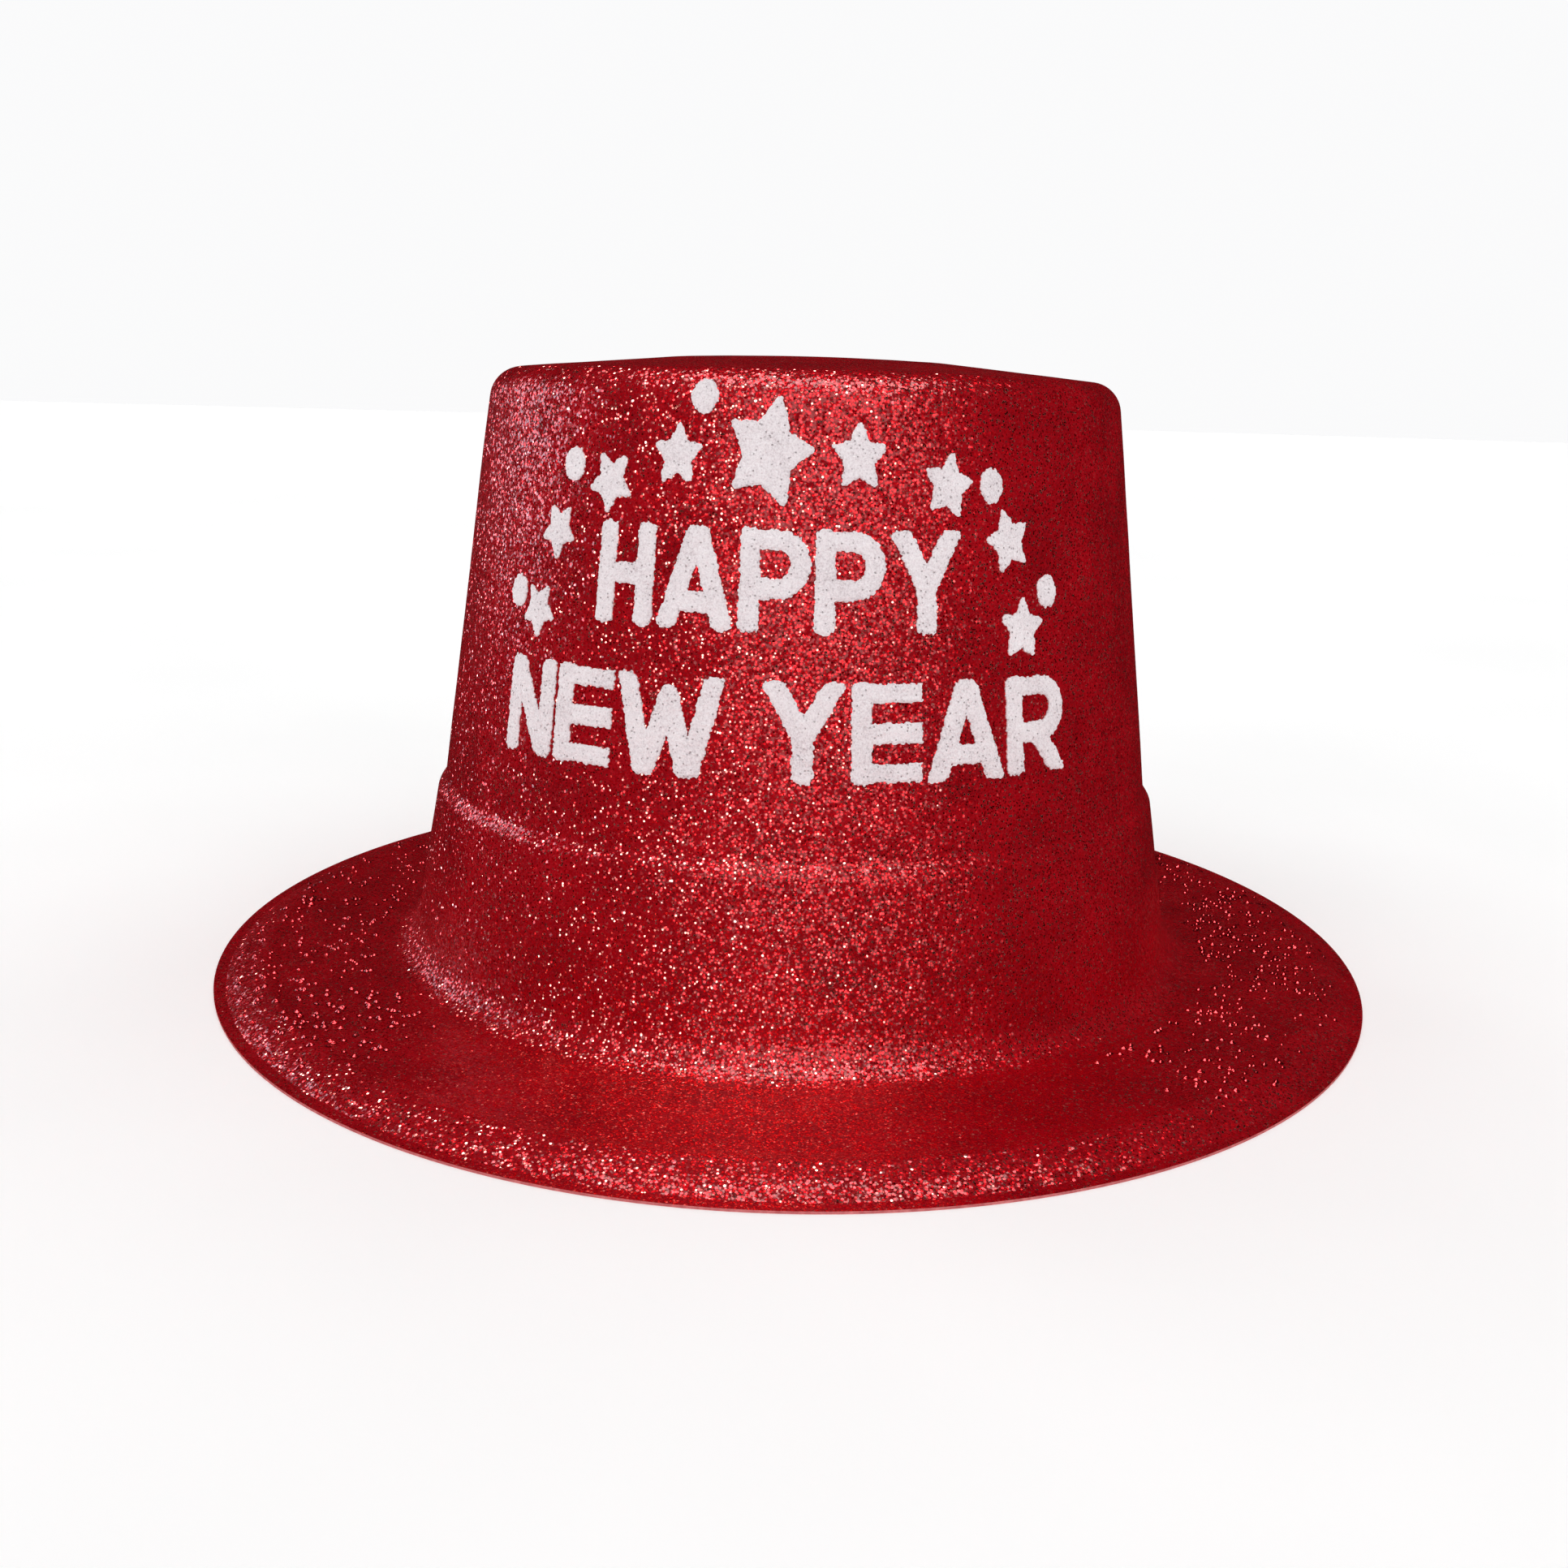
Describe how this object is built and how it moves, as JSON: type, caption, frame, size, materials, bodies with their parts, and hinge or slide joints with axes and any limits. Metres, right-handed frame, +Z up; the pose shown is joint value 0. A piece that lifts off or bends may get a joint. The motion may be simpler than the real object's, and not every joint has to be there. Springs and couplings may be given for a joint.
{
  "type": "party top hat",
  "caption": "Oval top hat of glitter plastic sheet with a moulded band, a curled-edge brim and raised prints on its front.",
  "frame": {"origin": "middle of the hat's bounding box, on the plane that the brim's edge rests on", "axes": "+Z up through the crown, -Y towards the printed front, +X to the right of somebody who looks at the front"},
  "size_m": [0.266, 0.292, 0.1375],
  "materials": {
    "glitter_sheet": "deep red glitter sheet, glossy",
    "white_print": "matt white flock"
  },
  "bodies": {
    "root": {"shell": "glitter_sheet", "happy_1_h": "white_print", "happy_2_a": "white_print", "happy_3_p": "white_print", "happy_4_p": "white_print", "happy_5_y": "white_print", "new_1_n": "white_print", "new_2_e": "white_print", "new_3_w": "white_print", "year_1_y": "white_print", "year_2_e": "white_print", "year_3_a": "white_print", "year_4_r": "white_print", "star_top": "white_print", "star_left_1": "white_print", "star_left_2": "white_print", "star_left_3": "white_print", "star_left_4": "white_print", "star_right_1": "white_print", "star_right_2": "white_print", "star_right_3": "white_print", "star_right_4": "white_print", "dot_top": "white_print", "dot_left_1": "white_print", "dot_left_2": "white_print", "dot_right_1": "white_print", "dot_right_2": "white_print"}
  },
  "joints": []
}
